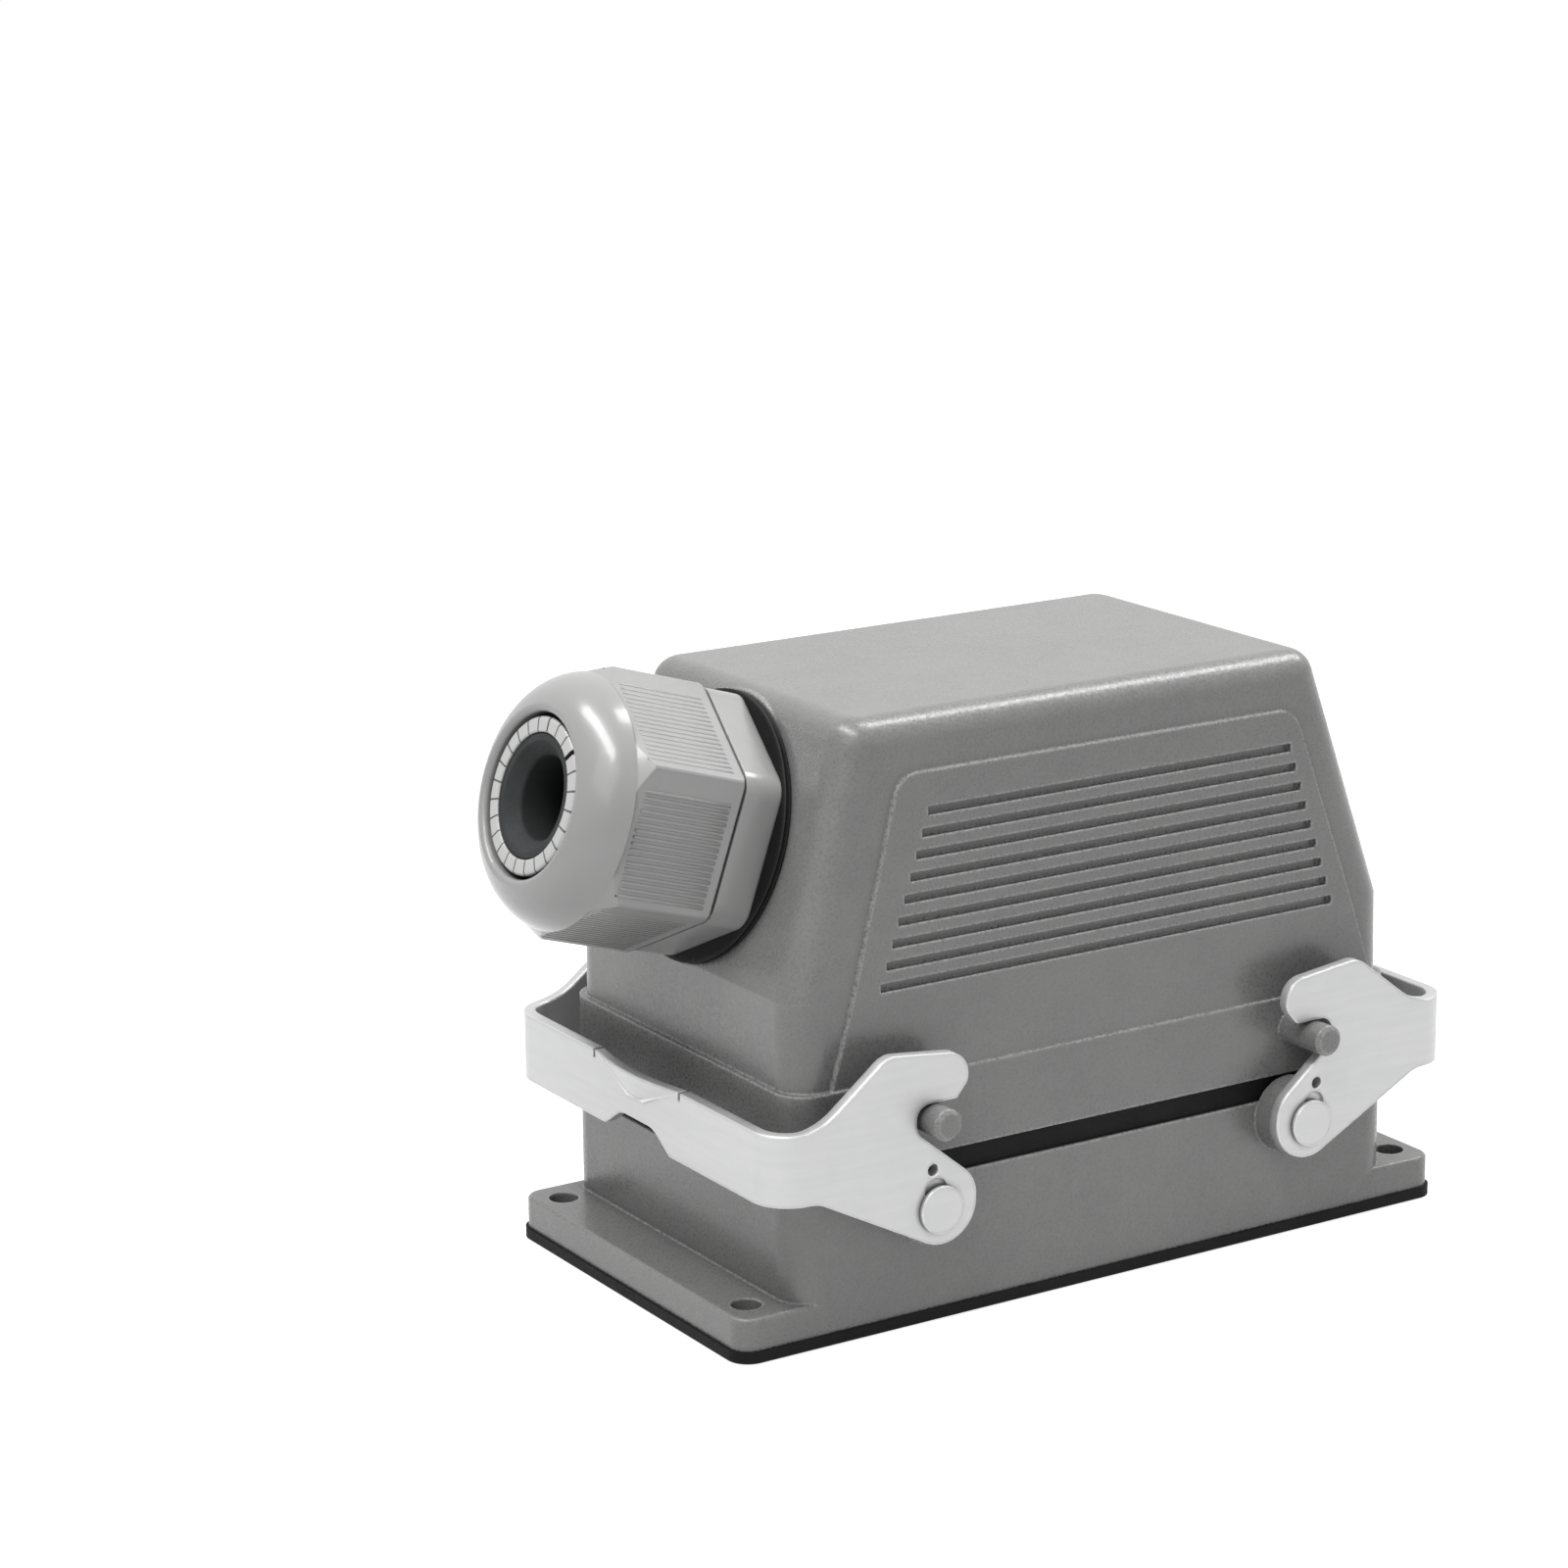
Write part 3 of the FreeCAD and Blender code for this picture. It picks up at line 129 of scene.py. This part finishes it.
def add_mesh(name, points, faces, smooth=True):
    mesh = bpy.data.meshes.new(name)
    mesh.from_pydata([tuple(point) for point in points], [], faces)
    mesh.update()
    for face in mesh.polygons:
        face.use_smooth = smooth
    return add_object(name, mesh)


class Nodes:
    """A material's node tree, with one short call for each kind of node."""

    def __init__(self, name):
        self.material = bpy.data.materials.new(name)
        self.material.use_nodes = True
        self.tree = self.material.node_tree
        self.shader = self.tree.nodes["Principled BSDF"]
        self.where = self.add("ShaderNodeTexCoord").outputs["Object"]

    def add(self, kind, inputs=(), **settings):
        node = self.tree.nodes.new(kind)
        for name, setting in settings.items():
            setattr(node, name, setting)
        for socket, given in dict(inputs).items():
            self.feed(node.inputs[socket], given)
        return node

    def feed(self, socket, given):
        if isinstance(given, bpy.types.NodeSocket):
            self.tree.links.new(given, socket)
        else:
            socket.default_value = given

    def stretched(self, scale):
        """Object coordinates with a different scale along each axis."""
        return self.add("ShaderNodeMapping", {"Vector": self.where, "Scale": scale}).outputs[0]

    def noise(self, size_mm, detail=3.0, vector=None):
        inputs = {"Vector": vector or self.where, "Scale": 1.0 / (size_mm * MM), "Detail": detail}
        return self.add("ShaderNodeTexNoise", inputs).outputs["Fac"]

    def spread(self, value, low, high, to_low=0.0, to_high=1.0):
        """A value that runs from to_low to to_high as the given one goes from low to high."""
        inputs = {"Value": value, "From Min": low, "From Max": high,
                  "To Min": to_low, "To Max": to_high}
        return self.add("ShaderNodeMapRange", inputs).outputs[0]

    def mix(self, share, first, second):
        """The first colour, turning into the second as the share goes from 0 to 1."""
        inputs = {MIX_SHARE: share, MIX_COLOURS[0]: first, MIX_COLOURS[1]: second}
        return self.add("ShaderNodeMix", inputs, data_type="RGBA").outputs[MIX_COLOUR_OUT]

    def mottled(self, noise, low, high, first, second, most=1.0):
        """The first colour, with the second's share rising to most where the noise is high."""
        return self.mix(self.spread(noise, low, high, 0.0, most), first, second)

    def calculate(self, operation, first, second):
        return self.add("ShaderNodeMath", {0: first, 1: second}, operation=operation).outputs[0]

    def along(self, vector, direction):
        """How far a vector reaches along a direction."""
        inputs = {0: vector, 1: direction}
        node = self.add("ShaderNodeVectorMath", inputs, operation="DOT_PRODUCT")
        return node.outputs["Value"]

    def normal(self):
        return self.add("ShaderNodeNewGeometry").outputs["Normal"]

    def rounded(self, radius_mm):
        """Shading normal with softened edges."""
        inputs = {"Radius": radius_mm * MM}
        return self.add("ShaderNodeBevel", inputs, samples=EDGE_SAMPLES).outputs[0]

    def edge(self, radius_mm):
        """0 on open surfaces, rising to 1 along edges."""
        agreement = self.along(self.rounded(radius_mm), self.normal())
        return self.spread(agreement, 1.0 - EDGE_BEND, 1.0, 1.0, 0.0)

    def painted_crevice_shade(self, reach_mm, darkest):
        """1 on open surfaces, falling towards darkest in narrow grooves and corners: a mask for
        painted shade.
        """
        inputs = {"Distance": reach_mm * MM}
        node = self.add("ShaderNodeAmbientOcclusion", inputs, samples=EDGE_SAMPLES)
        return self.spread(node.outputs["AO"], CREVICE_SHADE_SHUT, CREVICE_SHADE_OPEN, darkest, 1.0)

    def gland_depth(self, stretch_mm, top=1.0):
        """A value that rises from 0 to top over a stretch of the gland axis."""
        seat = GLAND_SEAT.dot(GLAND_AXIS)
        inner, outer = (seat + station * MM for station in stretch_mm)
        return self.spread(self.along(self.where, tuple(GLAND_AXIS)), inner, outer, 0.0, top)

    def off_slit_shade(self):
        """0 on the slits between the clamping fingers, 1 between them: a mask for the painted
        shade of the slits.
        """
        height = self.along(self.where, tuple(GLAND_UP))
        rise = self.calculate("SUBTRACT", height, GLAND_SEAT.dot(GLAND_UP))
        angle = self.calculate("ARCTAN2", self.along(self.where, tuple(GLAND_SIDE)), rise)
        slits = self.calculate("MULTIPLY", angle, FINGER_SLITS / (2 * math.pi))
        away = self.calculate("PINGPONG", slits, 0.5)
        return self.spread(away, SLIT_SHARE * (1 - SLIT_FADE), SLIT_SHARE * (1 + SLIT_FADE))

    def bump(self, height, depth_mm, normal, strength):
        inputs = {"Height": height, "Distance": depth_mm * MM, "Normal": normal,
                  "Strength": strength}
        return self.add("ShaderNodeBump", inputs).outputs[0]

    def finish(self, **sockets):
        for name, given in sockets.items():
            self.feed(self.shader.inputs[name.replace("_", " ")], given)
        return self.material


def rgb(level, warm=0.0):
    """A grey as linear red, green and blue, a little warmer or cooler."""
    return (level * (1.0 + warm), level, level * (1.0 - warm), 1.0)


def cast_paint():
    """Fine-textured powder coat on a die casting, with painted shade in crevices and painted
    highlights along edges.
    """
    look = Nodes("cast_paint")
    dark, light = rgb(0.132, 0.006), rgb(0.147, 0.012)
    patch, speck = rgb(0.167, 0.01), rgb(0.22, 0.01)
    crevice_shade_colour, edge_highlight_colour = rgb(0.06), rgb(0.45, 0.01)
    cloud, mottle, grain = look.noise(14.0), look.noise(2.6), look.noise(0.55, detail=4.0)
    base = look.mottled(cloud, 0.35, 0.65, dark, light)
    base = look.mottled(mottle, 0.35, 0.7, base, patch, most=0.35)
    base = look.mottled(grain, 0.35, 0.75, base, speck, most=0.3)
    # painted shade: darker in crevices and grooves
    base = look.mix(look.painted_crevice_shade(1.6, darkest=0.45), crevice_shade_colour, base)
    # painted highlight: speckled lighter lines along edges
    edge_highlight_share = look.calculate("MULTIPLY", look.edge(0.75), look.spread(grain, 0.35, 0.6, 0.15, 0.9))
    return look.finish(
        Base_Color=look.mix(edge_highlight_share, base, edge_highlight_colour),
        Roughness=look.spread(grain, 0.35, 0.65, 0.2, 0.44),
        Normal=look.bump(grain, 0.07, look.rounded(0.6), strength=0.65),
        Coat_Weight=0.12, Coat_Roughness=0.12)


def satin_steel():
    """Zinc-plated sheet, matt and nearly white, with faint rolling marks, painted shade in
    crevices and painted highlights along edges.
    """
    look = Nodes("satin_steel")
    dark, light, line = rgb(0.5, -0.005), rgb(0.55), rgb(0.43, -0.01)
    crevice_shade_colour, edge_highlight_colour = rgb(0.1), rgb(0.85)
    streak = look.noise(1.0, detail=4.0, vector=look.stretched((0.06, 0.06, 1.0)))
    cloud = look.noise(9.0)
    base = look.mottled(cloud, 0.3, 0.7, dark, light)
    base = look.mottled(streak, 0.35, 0.7, base, line, most=0.25)
    # painted shade: darker in crevices
    base = look.mix(look.painted_crevice_shade(1.2, darkest=0.3), crevice_shade_colour, base)
    # painted highlight: lighter along edges
    return look.finish(
        Base_Color=look.mix(look.edge(0.5), base, edge_highlight_colour),
        Metallic=0.55,
        Roughness=look.spread(cloud, 0.3, 0.7, 0.34, 0.46),
        Normal=look.bump(streak, 0.01, look.rounded(1.0), strength=0.4))


def moulded_nylon(name, lit_tone, slit_shade_tone):
    """Smooth light grey nylon with a clear gloss. From the gland's opening outwards, faces that
    look out along the axis have the tone of painted light. The slits between the fingers, and the
    walls that run along the axis there, have the tone of painted shade."""
    look = Nodes(name)
    dark, light, crevice_shade_colour = rgb(0.255, 0.006), rgb(0.275, 0.008), rgb(0.09)
    cloud, fine = look.noise(11.0), look.noise(0.8)
    base = look.mottled(cloud, 0.35, 0.65, dark, light)
    # painted light and shade near the gland's opening: outward faces lighter, slits and walls
    # along the axis darker
    outward = look.spread(look.along(look.normal(), tuple(GLAND_AXIS)), 0.35, 0.7)
    face = look.calculate("MULTIPLY", outward, look.off_slit_shade())
    end = look.mix(face, rgb(slit_shade_tone, 0.006), rgb(lit_tone, 0.006))
    base = look.mix(look.gland_depth(MOUTH_STRETCH), base, end)
    # painted shade: darker in crevices, such as between the grip ribs
    return look.finish(
        Base_Color=look.mix(look.painted_crevice_shade(0.9, darkest=0.55), crevice_shade_colour, base),
        Roughness=look.spread(fine, 0.3, 0.7, 0.22, 0.27),
        Normal=look.bump(fine, 0.006, look.rounded(0.4), strength=0.3),
        Coat_Weight=0.2, Coat_Roughness=0.06)


def matt_rubber(name, dark, light, deep_shade=False, ridged=False):
    """Rubber with a faint mould bloom. When asked, painted shade darkens it into the gland, and
    where it is ridged it has two painted highlights on crests along the washer's edge."""
    look = Nodes(name)
    cloud, fine = look.noise(6.0), look.noise(0.4)
    base = look.mottled(cloud, 0.3, 0.7, rgb(dark, -0.03), rgb(light, -0.03))
    relief = look.bump(fine, 0.02, look.rounded(0.3), strength=0.4)
    if deep_shade:
        # painted shade: near black further into the gland
        deep_shade_colour = rgb(0.002)
        base = look.mix(look.gland_depth(SEAL_STRETCH), deep_shade_colour, base)
    if ridged:
        # painted highlights: lighter tone on the washer's two crests
        crest_highlight = rgb(0.05)
        ridge = look.calculate("PINGPONG", look.gland_depth(WASHER_STRETCH, top=2.0), 0.5)
        base = look.mottled(ridge, 0.3, 0.5, base, crest_highlight, most=0.6)
        relief = look.bump(ridge, 0.3, relief, strength=0.8)
    return look.finish(
        Base_Color=base,
        Roughness=look.spread(fine, 0.3, 0.7, 0.55, 0.75),
        Normal=relief,
        Specular_IOR_Level=0.15)


def filled_plastic():
    """Pale glass-filled plastic of the contact inserts."""
    look = Nodes("filled_plastic")
    fine = look.noise(0.7, detail=4.0)
    return look.finish(
        Base_Color=look.mottled(fine, 0.35, 0.7, rgb(0.46, 0.03), rgb(0.53, 0.04)),
        Roughness=0.55,
        Normal=look.bump(fine, 0.02, look.rounded(0.4), strength=0.3))


def plated_metal(name, light, dark, smoothest, roughest):
    """Plated screws and contacts, with fine turning marks."""
    look = Nodes(name)
    fine = look.noise(0.5, detail=4.0)
    return look.finish(
        Base_Color=look.mottled(fine, 0.3, 0.7, light, dark),
        Metallic=1.0,
        Roughness=look.spread(fine, 0.3, 0.7, smoothest, roughest),
        Normal=look.bump(fine, 0.01, look.rounded(0.2), strength=0.4))


def dress(material, *names):
    for name in names:
        slots = nodes[name].data.materials
        slots.clear()
        slots.append(material)


def make_nut_ribs(material, name, angle, height):
    """Fine grip ribs along one flat of the dome nut, each a low ridge with run-out ends."""
    points, faces = [], []
    out = Vector((math.cos(angle), math.sin(angle), 0.0))
    across = Vector((-math.sin(angle), math.cos(angle), 0.0))
    wide = len(RIB_PROFILE)
    for number in range(RIB_COUNT):
        middle = (number - (RIB_COUNT - 1) / 2) * RIB_PITCH + RIB_SHIFT
        first = len(points)
        for along, swell in RIB_STATIONS:
            forward = Vector((0, 0, NUT_START + along))
            for side, rise in RIB_PROFILE:
                level = NUT_FLAT - RIB_SINK + (height + RIB_SINK) * rise * swell
                local = out * level + across * (middle + side * RIB_HALF_WIDTH) + forward
                points.append(GLAND_FRAME @ (local * MM))
        last = len(points) - wide
        for low in range(first, last, wide):
            for corner in range(low, low + wide - 1):
                faces.append((corner, corner + 1, corner + wide + 1, corner + wide))
            faces.append((low, low + wide, low + 2 * wide - 1, low + wide - 1))
        faces.append(tuple(range(first, first + wide)))
        faces.append(tuple(reversed(range(last, last + wide))))
    ribs = add_mesh(name, points, faces)
    ribs.data.materials.append(material)
    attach(ribs, "dome_nut")


def make_camera():
    turn, rise = math.radians(AZIMUTH), math.radians(ELEVATION)
    level = math.cos(rise)
    forward = Vector((math.sin(turn) * level, math.cos(turn) * level, -math.sin(rise)))
    aim = forward.to_track_quat("-Z", "Y").to_matrix().to_4x4()
    data = bpy.data.cameras.new("Camera")
    data.lens, data.sensor_width = LENS_MM, SENSOR_MM
    data.clip_start, data.clip_end = CLIP_START, CLIP_END
    camera = add_object("Camera", data)
    roll = Matrix.Rotation(math.radians(ROLL), 4, "Z")
    camera.matrix_world = Matrix.Translation(EYE) @ (aim @ roll)
    bpy.context.scene.camera = camera


def make_softbox(name, place, long_way, length, width, watts):
    """A rectangular studio light that faces the object, its length turned towards long_way."""
    data = bpy.data.lights.new(name, "AREA")
    data.shape, data.size, data.size_y, data.energy = "RECTANGLE", length, width, watts
    back = (Vector(place) - LIT_POINT).normalized()
    side = (Vector(long_way) - back * back.dot(Vector(long_way))).normalized()
    turn = Matrix((side, back.cross(side), back)).transposed()
    add_object(name, data).matrix_world = Matrix.Translation(place) @ turn.to_4x4()


def seen_directly(tree):
    """1 for rays from the camera and for mirrored or refracted ones."""
    rays = tree.nodes.new("ShaderNodeLightPath")
    total = rays.outputs["Is Camera Ray"]
    for name in ("Is Glossy Ray", "Is Transmission Ray"):
        larger = tree.nodes.new("ShaderNodeMath")
        larger.operation = "MAXIMUM"
        tree.links.new(total, larger.inputs[0])
        tree.links.new(rays.outputs[name], larger.inputs[1])
        total = larger.outputs[0]
    return total


def make_world():
    """Pale surroundings: they light at WORLD_LEVEL, and are white where seen directly."""
    world = bpy.data.worlds.new("Studio")
    world.use_nodes = True
    tree = world.node_tree
    background = tree.nodes["Background"]
    background.inputs["Color"].default_value = rgb(1.0)
    strength = tree.nodes.new("ShaderNodeMix")
    for socket, level in zip(MIX_NUMBERS, (WORLD_LEVEL, 1.0)):
        strength.inputs[socket].default_value = level
    tree.links.new(seen_directly(tree), strength.inputs[MIX_SHARE])
    tree.links.new(strength.outputs[MIX_NUMBER_OUT], background.inputs["Strength"])
    bpy.context.scene.world = world


def make_floor():
    """Floor under the object: seen directly it is white but for the object's soft shadow."""
    corners = [(x * FLOOR_HALF, y * FLOOR_HALF, FLOOR_LEVEL)
               for x, y in ((-1, -1), (1, -1), (1, 1), (-1, 1))]
    floor = add_mesh("floor", corners, [(0, 1, 2, 3)], smooth=False)
    look = Nodes("floor_white")
    seen = seen_directly(look.tree)
    floor.data.materials.append(look.finish(
        Base_Color=look.mix(seen, rgb(FLOOR_COLOUR), rgb(FLOOR_SEEN_COLOUR)),
        Roughness=0.9,
        Specular_IOR_Level=0.0,
        Emission_Color=rgb(1.0),
        Emission_Strength=look.calculate("MULTIPLY", seen, FLOOR_GLOW)))


nylon = moulded_nylon("moulded_nylon", lit_tone=0.26, slit_shade_tone=0.26)

dress(cast_paint(), "bulkhead_housing", "hood")
dress(satin_steel(), "left_locking_lever", "right_locking_lever", "lever_rivets")
dress(nylon, "gland_dome_nut")
# painted light of 0.43 on the fingers' outward faces, painted shade of 0.05 in the slits
dress(moulded_nylon("moulded_nylon_body", lit_tone=0.43, slit_shade_tone=0.05), "gland_body")
dress(matt_rubber("black_rubber", 0.003, 0.006), "flange_gasket", "housing_seal")
dress(matt_rubber("washer_rubber", 0.003, 0.006, ridged=True), "gland_washer")
# painted shade darkens the seal into the gland
dress(matt_rubber("gland_rubber", 0.03, 0.04, deep_shade=True), "gland_seal")
dress(
    filled_plastic(),
    "female_insert_near", "female_insert_far", "male_insert_near", "male_insert_far")
dress(
    plated_metal("plated_screws", rgb(0.6), rgb(0.48), 0.3, 0.42),
    "housing_insert_screws", "hood_insert_screws",
    "housing_earth_contacts", "hood_earth_contacts")
dress(
    plated_metal("plated_contacts", (0.62, 0.58, 0.46, 1), (0.5, 0.46, 0.35, 1), 0.25, 0.37),
    "socket_contacts_near", "socket_contacts_far", "pin_contacts_near", "pin_contacts_far")

for flat in range(FLAT_COUNT):
    flat_angle = math.radians(FIRST_FLAT_ANGLE + 360.0 / FLAT_COUNT * flat)
    make_nut_ribs(nylon, "nut_grip_ribs_%d" % flat, flat_angle, RIB_RISES[flat])

make_camera()
make_world()
for softbox in SOFTBOXES:
    make_softbox(*softbox)
make_floor()

bpy.context.scene.view_settings.view_transform = "Standard"
